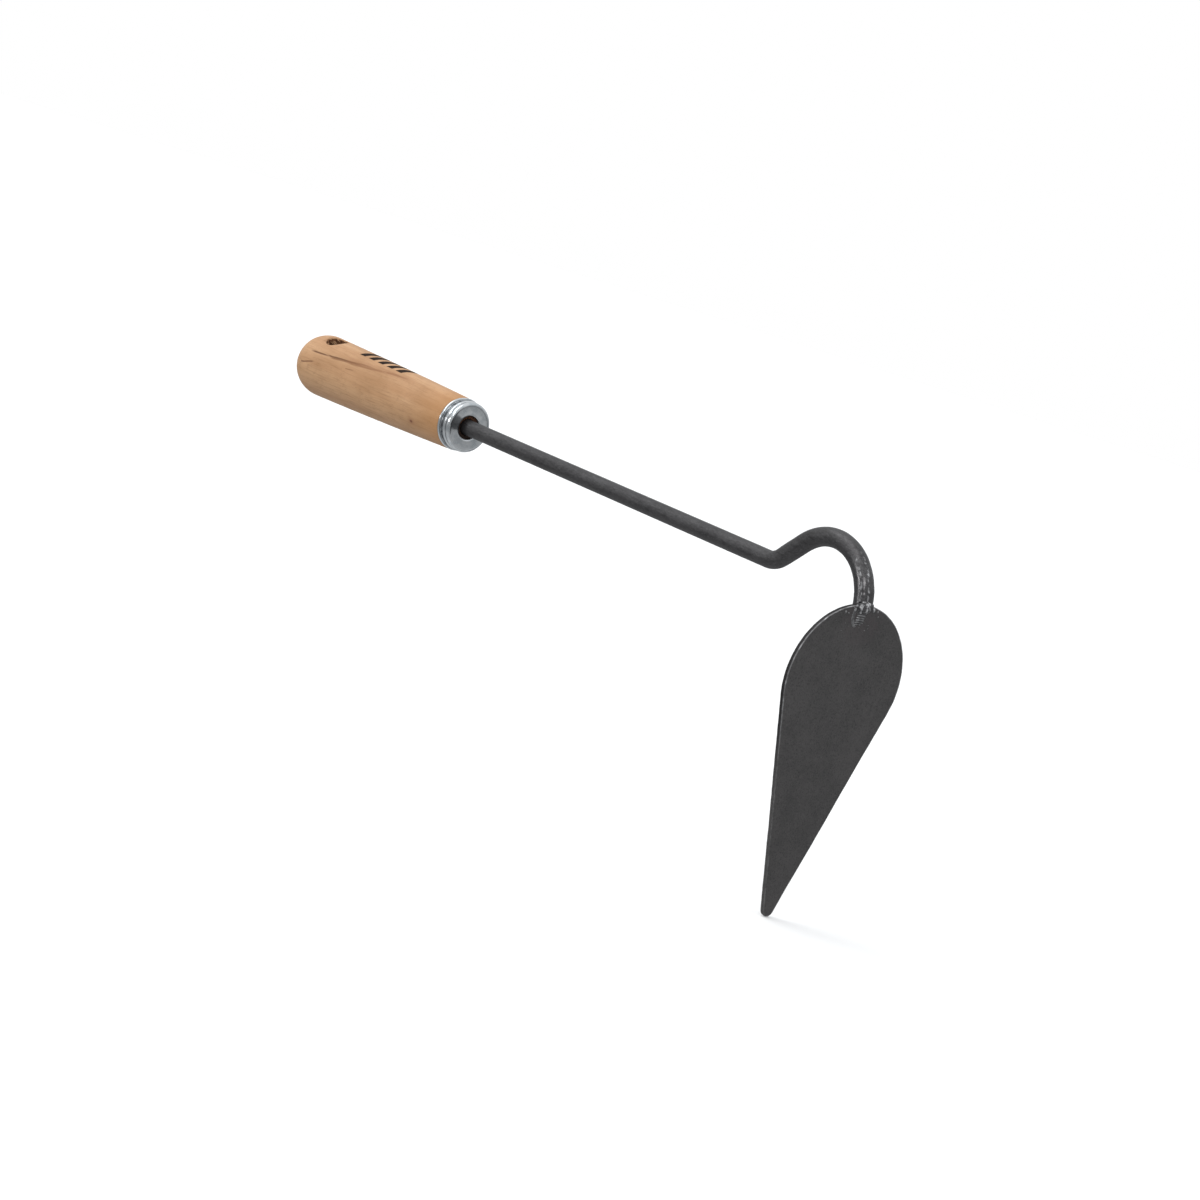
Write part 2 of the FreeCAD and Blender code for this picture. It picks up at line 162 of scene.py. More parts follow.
class Nodes:
    """A material's node tree, with short calls for the nodes that the looks need.

    Node coordinates are in metres, so a scale is in lumps per metre.
    """

    def __init__(self, name):
        self.material = bpy.data.materials.new(name)
        self.material.use_nodes = True
        self.tree = self.material.node_tree
        self.shader = next(n for n in self.tree.nodes if n.type == "BSDF_PRINCIPLED")
        self.where = self.node("ShaderNodeTexCoord").outputs["Object"]

    def node(self, kind, **settings):
        """A new node with some of its properties set."""
        made = self.tree.nodes.new(kind)
        for key, value in settings.items():
            setattr(made, key, value)
        return made

    def feed(self, socket, value):
        """Link an output into a socket, or set the socket's own value."""
        if isinstance(value, bpy.types.NodeSocket):
            self.tree.links.new(value, socket)
        else:
            socket.default_value = value

    def math(self, operation, first, second=0.0, clamp=False):
        """One step of arithmetic."""
        made = self.node("ShaderNodeMath", operation=operation, use_clamp=clamp)
        for socket, value in zip(made.inputs, (first, second)):
            self.feed(socket, value)
        return made.outputs[0]

    def times(self, first, second, clamp=False):
        return self.math("MULTIPLY", first, second, clamp)

    def plus(self, first, second, clamp=False):
        return self.math("ADD", first, second, clamp)

    def minus(self, first, second, clamp=False):
        return self.math("SUBTRACT", first, second, clamp)

    def length(self, first, second):
        """How far a point at those two offsets is from zero."""
        squares = self.plus(self.times(first, first), self.times(second, second))
        return self.math("SQRT", squares)

    def weighted(self, *terms):
        """The sum of values, each times its own weight."""
        total = self.times(*terms[0])
        for term in terms[1:]:
            total = self.plus(total, self.times(*term))
        return total

    def parts(self):
        """The X, Y and Z of the place in the object."""
        made = self.node("ShaderNodeSeparateXYZ")
        self.feed(made.inputs[0], self.where)
        return made.outputs

    def join(self, x, y, z):
        """A vector from three values."""
        made = self.node("ShaderNodeCombineXYZ")
        for socket, value in zip(made.inputs, (x, y, z)):
            self.feed(socket, value)
        return made.outputs[0]

    def scaled(self, x, y, z):
        """The place in the object, scaled along each axis."""
        made = self.node("ShaderNodeMapping")
        made.inputs["Scale"].default_value = (x, y, z)
        self.feed(made.inputs["Vector"], self.where)
        return made.outputs[0]

    def noise(self, vector, detail, roughness, distortion=0.0):
        """Soft noise with lumps about one unit of the vector wide."""
        made = self.node("ShaderNodeTexNoise")
        self.feed(made.inputs["Vector"], vector)
        for key, value in (("Scale", 1.0), ("Detail", detail), ("Roughness", roughness),
                           ("Distortion", distortion)):
            made.inputs[key].default_value = value
        return made.outputs["Fac"]

    def wobble(self, vector, amount):
        """Noise about zero."""
        return self.times(self.minus(self.noise(vector, 3.0, 0.6), 0.5), amount)

    def cells(self, vector):
        """The distance to the nearest of scattered points, about one unit apart."""
        made = self.node("ShaderNodeTexVoronoi")
        self.feed(made.inputs["Vector"], vector)
        made.inputs["Scale"].default_value = 1.0
        return made.outputs["Distance"]

    def span(self, value, low, high, to_low=0.0, to_high=1.0):
        """The value's range low to high, mapped smoothly and clamped to another range."""
        made = self.node("ShaderNodeMapRange", interpolation_type="SMOOTHSTEP")
        for socket, item in zip(made.inputs, (value, low, high, to_low, to_high)):
            self.feed(socket, item)
        return made.outputs[0]

    def mix(self, amount, first, second):
        """A colour between two."""
        made = self.node("ShaderNodeMix", data_type="RGBA")
        colours = [socket for socket in made.inputs if socket.type == "RGBA"]
        for socket, value in zip((made.inputs["Factor"], *colours), (amount, first, second)):
            self.feed(socket, value)
        return next(socket for socket in made.outputs if socket.type == "RGBA")

    def tint(self, colour, mask, strength, tone):
        """The colour, moved towards a tone where the mask is."""
        return self.mix(self.times(mask, strength), colour, tone)

    def attribute(self, name):
        """A per-vertex number of the mesh, 0 where the mesh has none."""
        return self.node("ShaderNodeAttribute", attribute_name=name).outputs["Fac"]

    def bump(self, height, distance_mm, strength):
        """A normal from a height map."""
        made = self.node("ShaderNodeBump")
        self.feed(made.inputs["Height"], height)
        made.inputs["Distance"].default_value = distance_mm * MM
        made.inputs["Strength"].default_value = strength
        return made.outputs[0]

    def finish(self, colour, roughness, normal=None, **uniform):
        """Feed the shader, set its uniform values and return the material."""
        self.feed(self.shader.inputs["Base Color"], colour)
        self.feed(self.shader.inputs["Roughness"], roughness)
        if normal is not None:
            self.feed(self.shader.inputs["Normal"], normal)
        for key, value in uniform.items():
            self.shader.inputs[key.replace("_", " ")].default_value = value
        return self.material


GRIP_ARC = 0.0158  # metres of surface per radian around the grip
KNOT_X = 0.0933
KNOT_TURN = 2.07
BARS_START = 0.0290
BAR_PERIOD = 0.0085

# Streaks along the grain: start and end in metres along X, turn in radians at each of them,
# half width in metres, breaks per metre, strength and tone.
STREAKS = (
    (-0.008, 0.040, 1.150, 0.955, 0.00070, 40.0, 0.90, srgb(98, 60, 33)),
    (0.010, 0.052, 1.115, 0.82, 0.00085, 60.0, 0.68, srgb(116, 76, 42)),
    (0.024, 0.080, 1.035, 0.66, 0.00110, 50.0, 0.62, srgb(124, 82, 46)),
    (0.020, 0.086, 0.93, 0.64, 0.00260, 50.0, 0.30, srgb(150, 102, 68)),
    (-0.012, 0.001, 1.61, 1.47, 0.00050, 90.0, 0.85, srgb(104, 68, 46)),
    (0.028, 0.036, 1.26, 1.22, 0.00035, 90.0, 0.60, srgb(120, 80, 54)),
    (0.020, 0.060, 3.60, 3.35, 0.00070, 120.0, 0.60, srgb(120, 78, 52)),
    (0.050, 0.105, -1.30, -1.05, 0.00060, 100.0, 0.55, srgb(120, 78, 52)),
)


def streak_mask(n, x, arc, start, end, turn_start, turn_end, half_width, breaks):
    """A streak along the grain between two places, fading at both ends."""
    slope = (turn_end - turn_start) * GRIP_ARC
    line = n.plus(n.times(n.span(x, start, end), slope), turn_start * GRIP_ARC)
    off = n.math("ABSOLUTE", n.minus(arc, line))
    across = n.span(off, half_width, half_width * 0.25)
    margin = (end - start) * 0.12
    ends = n.times(n.span(x, start, start + margin), n.span(x, end, end - margin * 2))
    broken = n.span(n.noise(n.scaled(breaks, 500.0, 500.0), 3.0, 0.6), 0.22, 0.46)
    return n.times(n.times(across, ends), broken)


def burnt_bars(n, x, arc):
    """A burnt tally mark: plain leaning bars over the top of the grip."""
    lean = n.plus(x, n.times(arc, 0.35))
    beat = n.math("FRACT", n.times(n.minus(lean, BARS_START), 1.0 / BAR_PERIOD))
    beat = n.plus(beat, n.wobble(n.scaled(700.0, 700.0, 700.0), 0.10))
    bar = n.times(n.span(beat, 0.06, 0.12), n.span(beat, 0.72, 0.66))
    window = n.times(n.span(lean, 0.0288, 0.0292), n.span(lean, 0.0715, 0.0711))
    band = n.times(n.span(arc, -0.0052, -0.0048), n.span(arc, 0.0084, 0.0080))
    return n.times(n.times(bar, window), band)


def wood_material():
    """Oiled beech: long faint figure, short ray flecks, mineral streaks and a pin knot."""
    n = Nodes("beech")
    x, y, z = n.parts()
    radius = n.length(y, z)
    arc = n.times(n.math("ARCTAN2", n.times(y, -1.0), z), GRIP_ARC)
    fibres = n.noise(n.scaled(60.0, 1500.0, 1500.0), 5.0, 0.65)
    bands = n.noise(n.scaled(9.0, 150.0, 110.0), 3.0, 0.5, distortion=0.6)
    clouds = n.noise(n.scaled(26.0, 60.0, 60.0), 3.0, 0.5)
    mottle = n.noise(n.scaled(220.0, 420.0, 420.0), 4.0, 0.6)

    deep = srgb(158, 118, 80)
    colour = n.mix(n.span(bands, 0.36, 0.66), srgb(199, 158, 119), srgb(185, 142, 103))
    colour = n.tint(colour, n.span(clouds, 0.40, 0.72), 0.55, deep)
    colour = n.tint(colour, n.span(fibres, 0.45, 0.75), 0.42, srgb(136, 98, 64))
    colour = n.tint(colour, n.span(mottle, 0.50, 0.78), 0.25, deep)

    flecks = n.cells(n.scaled(300.0, 3400.0, 3400.0))
    fleck_mask = n.times(n.span(flecks, 0.36, 0.14), n.span(mottle, 0.40, 0.62))
    colour = n.tint(colour, fleck_mask, 0.42, srgb(130, 88, 56))
    colour = n.tint(colour, n.span(x, 0.085, 0.118), 0.45, srgb(178, 126, 74))

    wandering = n.plus(arc, n.wobble(n.scaled(90.0, 0.0, 0.0), 0.0005))
    for *shape, strength, tone in STREAKS:
        colour = n.tint(colour, streak_mask(n, x, wandering, *shape), strength, tone)

    knot = n.length(n.times(n.minus(x, KNOT_X), 0.7), n.minus(arc, GRIP_ARC * KNOT_TURN))
    colour = n.tint(colour, n.span(knot, 0.0030, 0.0006), 0.45, srgb(150, 98, 66))
    colour = n.tint(colour, n.span(knot, 0.0011, 0.0005), 0.75, srgb(110, 66, 48))

    burnt = burnt_bars(n, x, arc)
    colour = n.tint(colour, burnt, 0.97, srgb(16, 6, 4))

    # raw grain inside the hanging hole and on hidden faces, with painted shade darkening it deep in
    # the hole
    raw = n.attribute("raw")
    end_grain = n.noise(n.scaled(900.0, 1800.0, 700.0), 4.0, 0.7)
    strands = n.noise(n.scaled(110.0, 1500.0, 1500.0), 3.0, 0.6)
    torn = n.mix(n.span(n.weighted((end_grain, 0.2), (strands, 0.8)), 0.40, 0.62),
                 srgb(158, 112, 76), srgb(78, 48, 31))
    painted_hole_shade = n.times(n.span(radius, 0.0160, 0.0125), n.span(x, 0.060, 0.050))
    torn = n.tint(torn, painted_hole_shade, 0.75, srgb(48, 30, 21))
    colour = n.mix(raw, colour, torn)

    # the tenon's dark end at the bottom of the ferrule's eye, with painted shade over its lower
    # side
    in_eye = n.times(n.span(x, 0.1217, 0.1225), n.span(radius, 0.0076, 0.0070))
    floor = n.mix(n.span(end_grain, 0.40, 0.58), srgb(118, 76, 48), srgb(40, 25, 19))
    floor = n.tint(floor, n.span(z, 0.0030, -0.0020), 0.8, srgb(30, 24, 22))
    colour = n.mix(in_eye, colour, floor)

    height = n.weighted((fibres, 0.5), (fleck_mask, -0.5), (mottle, 0.25), (burnt, -1.2),
                        (n.times(end_grain, raw), 2.0))
    gloss = n.span(n.weighted((fibres, 0.5), (clouds, 0.5)), 0.3, 0.7, 0.46, 0.62)
    gloss = n.plus(gloss, n.times(raw, 0.25), clamp=True)
    gloss = n.plus(gloss, n.times(burnt, 0.6), clamp=True)
    return n.finish(colour, gloss, n.bump(height, 0.09, 0.8), Specular_IOR_Level=0.30)


def zinc_material():
    """Bright zinc plate: bluish, with turning marks, soft stains, brown dirt at the eye and painted
    shade on the skirt and in its creases.
    """
    n = Nodes("zinc_plate")
    x, y, z = n.parts()
    radius = n.length(y, z)
    stains = n.noise(n.scaled(260.0, 260.0, 260.0), 4.0, 0.6)
    fine = n.noise(n.scaled(1600.0, 1600.0, 1600.0), 5.0, 0.7)
    lathe = n.join(n.times(x, 2500.0), n.times(radius, 2500.0), n.times(stains, 1.5))
    rings = n.noise(lathe, 3.0, 0.6)
    colour = n.mix(n.span(stains, 0.35, 0.68), srgb(211, 214, 216), srgb(186, 192, 196))
    colour = n.tint(colour, n.span(rings, 0.45, 0.7), 0.14, srgb(140, 150, 158))
    colour = n.tint(colour, n.span(fine, 0.55, 0.75), 0.25, srgb(120, 128, 134))
    dirt = n.times(n.span(radius, 0.0064, 0.0058), n.span(stains, 0.35, 0.6, 0.35, 1.0))
    colour = n.tint(colour, dirt, 0.7, srgb(84, 62, 48))
    # painted shade on the skirt, in the groove, behind the lip and at the foot of the face's rim
    colour = n.tint(colour, n.attribute("painted_crease_shade"), 0.80, srgb(62, 64, 68))
    gloss = n.span(n.weighted((stains, 0.6), (fine, 0.4)), 0.3, 0.7, 0.12, 0.30)
    gloss = n.plus(gloss, n.times(dirt, 0.3), clamp=True)
    height = n.weighted((rings, 0.6), (fine, 0.5))
    return n.finish(colour, gloss, n.bump(height, 0.02, 0.7), Metallic=1.0)


def steel_material(name, dark, light, scuff, gloss_low, gloss_high, stretch=1.0, heated=False):
    """Blackened steel: mottled scale, fine specks, pits, bare metal where it is rubbed, painted
    highlights in that bare metal colour and painted shade on the blade's rim.

    stretch below 1 draws the grain out along X, and heated adds a stain around the weld.
    """
    n = Nodes(name)

    def grain(scale, detail, roughness):
        return n.noise(n.scaled(scale * stretch, scale, scale), detail, roughness)

    big = grain(70.0, 4.0, 0.55)
    middle = grain(420.0, 5.0, 0.65)
    fine = grain(2200.0, 4.0, 0.7)
    specks = grain(1300.0, 3.0, 0.6)
    colour = n.mix(n.span(n.weighted((big, 0.5), (middle, 0.5)), 0.36, 0.64), dark, light)
    colour = n.tint(colour, n.span(fine, 0.50, 0.70), 0.55, scuff)
    colour = n.tint(colour, n.span(specks, 0.52, 0.66), 0.32, srgb(40, 39, 40))
    colour = n.tint(colour, n.span(specks, 0.44, 0.32), 0.30, scuff)
    pits = n.times(n.span(n.cells(n.scaled(900.0, 900.0, 900.0)), 0.22, 0.10),
                   n.span(middle, 0.52, 0.66))
    colour = n.tint(colour, pits, 0.5, srgb(28, 28, 29))
    if heated:
        _, y, z = n.parts()
        off = n.length(n.plus(y, 0.0005), n.plus(z, 0.0065))
        stain = n.times(n.span(off, 0.0145, 0.0085), n.span(middle, 0.30, 0.62))
        colour = n.tint(colour, stain, 0.40, srgb(98, 90, 92))
    # bare metal where it is worn, and painted highlights in the same bright colour: glints on the
    # weld, two lines on the neck and the blade's arrises
    wear_and_glint = n.times(n.attribute("wear_and_glint"), n.span(middle, 0.34, 0.60, 0.35, 1.0), clamp=True)
    # painted shade darkens the blade's rim side faces
    colour = n.tint(colour, n.attribute("painted_rim_shade"), 0.8, srgb(34, 33, 34))
    colour = n.mix(wear_and_glint, colour, srgb(214, 214, 216))
    gloss = n.span(n.weighted((middle, 0.6), (fine, 0.4)), 0.32, 0.68, gloss_low, gloss_high)
    gloss = n.minus(gloss, n.times(wear_and_glint, 0.14), clamp=True)
    gloss = n.minus(gloss, n.times(n.attribute("polish"), 0.20), clamp=True)
    height = n.weighted((middle, 0.6), (fine, 0.35), (pits, -0.5))
    return n.finish(colour, gloss, n.bump(height, 0.035, 0.8), Metallic=0.85)


def set_attribute(obj, name, values):
    """A per-vertex number that the materials read."""
    layer = obj.data.attributes.new(name, "FLOAT", "POINT")
    layer.data.foreach_set("value", np.asarray(values, float))


# ---------------------------------------------------------------- handle

HOLE_TURN = math.radians(18.0)
HOLE_AXIS = np.array([0.0, -math.sin(HOLE_TURN), math.cos(HOLE_TURN)])
HOLE_SIDE = np.array([0.0, math.cos(HOLE_TURN), math.sin(HOLE_TURN)])
HOLE_RADIUS = 6.0
GRIP_RADIUS = 16.6
SHOULDER = 115.8
TANG_END = 64.0
TANG_START = 108.0
TANG_END_RADIUS = 2.0
ROD_RADIUS = 4.0


def make_handle(material):
    """The turned grip, with torn fibres at the mouth of the hanging hole."""
    mesh = remeshed("handle_base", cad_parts["handle"].data.copy(), 0.5)
    points, faces = mesh_arrays(mesh)
    normals = mesh_normals(mesh)
    along_hole = points @ HOLE_AXIS
    flat = points - np.outer(along_hole, HOLE_AXIS)
    from_hole = np.linalg.norm(flat, axis=1)
    radius = np.hypot(points[:, 1], points[:, 2])
    around = np.arctan2(points @ HOLE_SIDE, points[:, 0])

    outer = radius > 11.6
    in_hole = (from_hole < HOLE_RADIUS + 0.35) & (points[:, 0] < 8.0)
    mouth = smoothstep(3.2, 0.0, from_hole - HOLE_RADIUS) * (points[:, 0] < 12.0)

    # very faint waves left by turning and sanding
    wave = rough(points * np.array([0.6, 0.12, 0.12]), 3.2, 3, 4.0)
    points = points + normals * (0.035 * wave * outer)[:, None]

    # torn wood where the drill broke out, on the butt's side of both mouths
    torn_side = smoothstep(1.1, 0.2, np.abs(np.abs(around) - math.pi * 0.92))
    fibre = rough(points * np.array([0.35, 1.0, 1.0]), 0.75, 3, 11.0)
    chips = rough(points, 2.2, 2, 23.0)
    near_mouth = smoothstep(4.5, 0.5, radius.max() - radius) * mouth
    tear = near_mouth * torn_side * (0.25 + 0.75 * smoothstep(-0.15, 0.45, chips))
    points = points + normals * (tear * (0.55 * fibre - 0.25))[:, None]

    # inside of the hole: rough, with lifted fibres
    wall = in_hole & (radius < 16.0)
    points = points + normals * (wall * (0.10 + 0.28 * torn_side) * fibre)[:, None]

    # the mouth of the tang's bore, opened a hair so that it isn't ragged against the bar
    in_bore = (radius < 4.9) & (points[:, 0] > TANG_START)
    grown = np.where(in_bore, np.maximum(radius, 4.35) / np.maximum(radius, 1e-6), 1.0)
    points[:, 1:] *= grown[:, None]

    obj = make_piece("handle_wood", points, faces, ["handle"], [material])
    raw = np.where(wall, 0.9, 0.0) + tear * 0.8
    tenon = (points[:, 0] > SHOULDER - 0.2) & (radius < 12.8)
    bore = (radius < 7.4) & (points[:, 0] > 60.0)
    raw = np.where(tenon | bore, 0.8, raw)
    set_attribute(obj, "raw", np.clip(raw, 0.0, 1.0))


def make_splinters(material):
    """Torn fibres that the drill left across the butt's side of the hole's mouths."""
    draw = np.random.default_rng(3)
    points, faces = [], []
    sides = 5
    widths = ((0.0, 1.0), (0.35, 0.9), (0.7, 0.6), (1.0, 0.12))
    for mouth in (1.0, -1.0):
        for _ in range(15):
            turn = math.pi + draw.normal(0.0, 0.55)
            reach = draw.uniform(1.2, 3.6)
            thick = draw.uniform(0.10, 0.24)
            depth = draw.uniform(0.3, 2.6)
            side = (HOLE_RADIUS + 0.2) * math.sin(turn)
            start = np.array([(HOLE_RADIUS + 0.35) * math.cos(turn), 0.0, 0.0]) + HOLE_SIDE * side
            height = math.sqrt((GRIP_RADIUS - 0.1) ** 2 - side ** 2) - depth
            start = start + HOLE_AXIS * mouth * height
            bend = np.array([reach, 0.0, 0.0]) + HOLE_SIDE * draw.normal(0.0, 0.35) * reach
            bend = bend - HOLE_AXIS * mouth * draw.uniform(-0.1, 0.45) * reach
            first = len(points)
            for part, width in widths:
                droop = HOLE_AXIS * mouth * 0.25 * reach * part * part
                middle = start + bend * part - droop
                for corner in range(sides):
                    angle = math.tau * corner / sides
                    out = math.cos(angle) * HOLE_SIDE * 1.5 + math.sin(angle) * HOLE_AXIS
                    points.append(middle + thick * width * out)
            last = (len(widths) - 1) * sides
            faces += [tuple(first + index for index in face)
                      for face in tube_faces(len(widths), sides)]
            faces.append(tuple(first + corner for corner in range(sides - 1, -1, -1)))
            faces.append(tuple(first + last + corner for corner in range(sides)))
    obj = make_piece("handle_splinters", np.array(points), faces, (), [material])
    set_attribute(obj, "raw", np.full(len(points), 0.15))


# ---------------------------------------------------------------- ferrule

LIP_ROUND = 0.75
LIP_CENTRE_RADIUS = 12.85
LIP_END = 3.4  # radians around the lip's own centre
SHEET = 0.9


def rounded(corners, share=0.2):
    """A closed profile with that share of each side cut off at both its corners."""
    before = np.array(corners, float)
    after = np.roll(before, -1, axis=0)
    ends = [before * (1 - share) + after * share, before * share + after * (1 - share)]
    return np.stack(ends, axis=1).reshape(-1, 2)


def make_ferrule(material):
    """The pressed cap: rolled lip, skirt, two beads, flat face and curled eye."""
    low, high = box_mm("ferrule")
    x0, face = low[0], high[0]
    lip = [(x0 + LIP_ROUND - LIP_ROUND * math.cos(t), LIP_CENTRE_RADIUS + LIP_ROUND * math.sin(t))
           for t in np.linspace(0.0, LIP_END, 13)]
    profile = lip + [
        (x0 + 1.62, 12.48), (x0 + 1.9, 12.40), (x0 + 2.6, 12.38), (x0 + 3.3, 12.40),
        (x0 + 3.65, 12.50), (x0 + 3.9, 12.74), (x0 + 4.2, 12.92), (x0 + 4.6, 12.98),
        (x0 + 5.1, 12.95), (x0 + 5.4, 12.82), (x0 + 5.6, 12.58), (x0 + 5.8, 12.44),
        (x0 + 6.1, 12.44), (x0 + 6.3, 12.58), (x0 + 6.55, 12.76), (x0 + 6.9, 12.82),
        (face - 1.25, 12.80), (face - 0.85, 12.70), (face - 0.50, 12.48), (face - 0.22, 12.18),
        (face - 0.05, 11.84), (face, 11.50), (face - 0.05, 11.30), (face - 0.16, 11.14),
        (face - 0.22, 10.90), (face - 0.22, 10.0), (face - 0.20, 9.0), (face - 0.16, 8.1),
        (face - 0.10, 7.4), (face - 0.06, 6.9), (face - 0.12, 6.55), (face - 0.30, 6.22),
        (face - 0.58, 5.98), (face - 0.95, 5.90), (face - 1.8, 5.90), (face - 1.8, 6.8),
        (face - SHEET, 6.8), (face - SHEET, 9.4), (face - SHEET, 11.4), (x0 + 3.2, 11.4),
        (x0 + 3.2, 11.7), (x0 + 1.2, 11.7), (x0, 11.7),
    ]
    ring = rounded(profile)
    around = 224
    turns = np.linspace(0.0, math.tau, around, endpoint=False)
    points = []
    for x, r in ring:
        points += [(x, r * math.cos(t), r * math.sin(t)) for t in turns]
    points = np.array(points)
    outward = points * np.array([0.0, 1.0, 1.0])
    outward /= np.linalg.norm(outward, axis=1)[:, None]
    dents = rough(points, 5.5, 2, 3.0) * 0.055 + rough(points, 1.7, 2, 8.0) * 0.018
    shown = smoothstep(11.8, 12.3, np.hypot(points[:, 1], points[:, 2]))
    points = points + outward * (dents * shown)[:, None]
    dish = rough(points * np.array([0.0, 1.0, 1.0]), 4.5, 2, 6.0) * 0.05
    on_face = smoothstep(face - 0.30, face - 0.20, points[:, 0])
    points[:, 0] += dish * on_face * (np.hypot(points[:, 1], points[:, 2]) < 11.0)
    faces = tube_faces(len(ring), around, wrap=True)
    obj = make_piece("ferrule_cap", points, faces, ["ferrule"], [material])
    x, r = points[:, 0] - x0, np.hypot(points[:, 1], points[:, 2])
    patchy = smoothstep(-0.30, 0.35, rough(points, 2.6, 3, 51.0))
    skirt = smoothstep(1.35, 1.75, x) * smoothstep(3.9, 3.2, x) * (r > 12.0)
    groove = smoothstep(0.45, 0.15, np.abs(x - 5.95)) * (r > 12.0)
    back_of_lip = smoothstep(0.30, 0.05, x) * (r < 13.0)
    rim_foot = smoothstep(0.20, 0.05, np.abs(r - 11.12)) * (x > 6.5)
    # painted shade on the skirt, in the groove, behind the lip and at the foot of the face's rim
    painted_crease_shade = skirt * (0.50 + 0.6 * patchy) + groove * (0.6 + 0.5 * patchy)
    painted_crease_shade += back_of_lip + rim_foot * 0.8
    set_attribute(obj, "painted_crease_shade", np.clip(painted_crease_shade, 0.0, 1.0))


# ---------------------------------------------------------------- shank

NECK_RADIUS = 4.25
BEND_X = 358.3
BEND_RADIUS = 12.0
RISE = math.radians(43.2)
RISE_LENGTH = 18.2
CROOK_RADIUS = 26.0
LAP_RUN = 3.0
BLADE_FRONT = 418.6
BLADE_THICK = 2.0
HEAD_RADIUS = 33.5
HEAD_Z = -34.6
TIP_RADIUS = 3.0
TIP_DISTANCE = 102.2
BLADE_TOP = HEAD_Z + HEAD_RADIUS
BLADE_BACK = BLADE_FRONT - BLADE_THICK


def upward(heading):
    """The direction square to the bar in its plane, at that slope."""
    return np.array([-math.sin(heading), 0.0, math.cos(heading)])


def neck_stations():
    """Centre, direction angle and length so far at stations along the bar, tang to lap."""
    setback = BEND_RADIUS * math.tan(RISE / 2)
    # kind, turn, length or radius, and spacing of the stations
    runs = [
        ("line", 0.0, BEND_X - setback - TANG_END, 1.6),
        ("arc", RISE, BEND_RADIUS, 0.7),
        ("line", 0.0, RISE_LENGTH - setback, 0.6),
        ("arc", -(RISE + math.pi / 2), CROOK_RADIUS, 0.5),
        ("line", 0.0, LAP_RUN, 0.4),
    ]
    place, heading, so_far = np.array([TANG_END, 0.0, 0.0]), 0.0, 0.0
    stations = [(place, heading, so_far)]
    for kind, turn, amount, step in runs:
        length = amount if kind == "line" else abs(turn) * amount
        count = max(2, round(length / step))
        start, start_heading = place, heading
        for index in range(1, count + 1):
            part = index / count
            if kind == "line":
                move = np.array([math.cos(heading), 0.0, math.sin(heading)]) * length * part
                place = start + move
            else:
                side = math.copysign(1.0, turn)
                centre = start + amount * side * upward(start_heading)
                heading = start_heading + turn * part
                place = centre - amount * side * upward(heading)
            stations.append((place, heading, so_far + length * part))
        so_far += length
    return stations


def make_shank(material):
    """The bar: tang, straight rod with drawing marks, forged gooseneck and half-lapped end."""
    stations = neck_stations()
    total = stations[-1][2]
    around = 64
    turns = np.linspace(0.0, math.tau, around, endpoint=False)
    bend_at = BEND_X - TANG_END
    points, outward, lengths = [], [], []
    for place, heading, length in stations:
        up = upward(heading)
        x = TANG_END + length
        if x < TANG_START:
            part = (x - TANG_END) / (TANG_START - TANG_END)
            radius = TANG_END_RADIUS + (ROD_RADIUS - TANG_END_RADIUS) * part
        else:
            part = float(smoothstep(bend_at - 12.0, bend_at + 14.0, length))
            radius = ROD_RADIUS + (NECK_RADIUS - ROD_RADIUS) * part
        pinch = float(smoothstep(14.0, 0.0, abs(length - bend_at)))
        for t in turns:
            direction = math.cos(t) * up + math.sin(t) * np.array([0.0, 1.0, 0.0])
            squeeze = 1.0 + pinch * (0.035 * math.sin(t) ** 2 - 0.02 * math.cos(t) ** 2)
            points.append(place + direction * radius * squeeze)
            outward.append(direction)
            lengths.append(length)
    points, outward, lengths = np.array(points), np.array(outward), np.array(lengths)
    in_neck = smoothstep(bend_at - 20.0, bend_at + 20.0, lengths)
    near_weld = smoothstep(total - 33.0, total - 20.0, lengths)
    shown = smoothstep(TANG_START + 12.0, TANG_START + 16.0, lengths + TANG_END)
    drawn = rough(points * np.array([0.08, 1.0, 1.0]), 2.2, 2, 1.0) * 0.02
    forged = rough(points, 4.5, 3, 5.0) * 0.06 * in_neck
    pitted = rough(points, 1.2, 3, 9.0) * 0.06 * near_weld
    points = points + outward * ((drawn + forged + pitted) * shown)[:, None]
    # painted highlights: two glint lines along the neck's outside, by their angle in degrees around
    # the bar
    side = np.tile(np.degrees(np.arctan2(-np.sin(turns), np.cos(turns))), len(stations))
    painted_glint_lines = smoothstep(10.0, 3.0, np.abs(side - 19.0)) + smoothstep(9.0, 3.0, np.abs(side - 65.0))

    lapped = (points[:, 2] < BLADE_TOP) & (points[:, 0] > BLADE_BACK)
    points[lapped, 0] = BLADE_BACK
    ends = [stations[0][0], stations[-1][0]]
    points = np.vstack([points, ends])
    faces = tube_faces(len(stations), around, True, True)
    obj = make_piece("shank_bar", points, faces, ["shank"], [material])
    # the painted glint lines near the weld are broken into dashes of bright metal
    glints = smoothstep(-0.05, 0.45, rough(points[:-2] * np.array([1.0, 1.0, 0.22]), 0.7, 3, 14.0))
    set_attribute(obj, "wear_and_glint", np.append(near_weld * glints * painted_glint_lines * 0.72, [0.0, 0.0]))
    set_attribute(obj, "polish", np.append(near_weld, [0.0, 0.0]))


# ---------------------------------------------------------------- blade

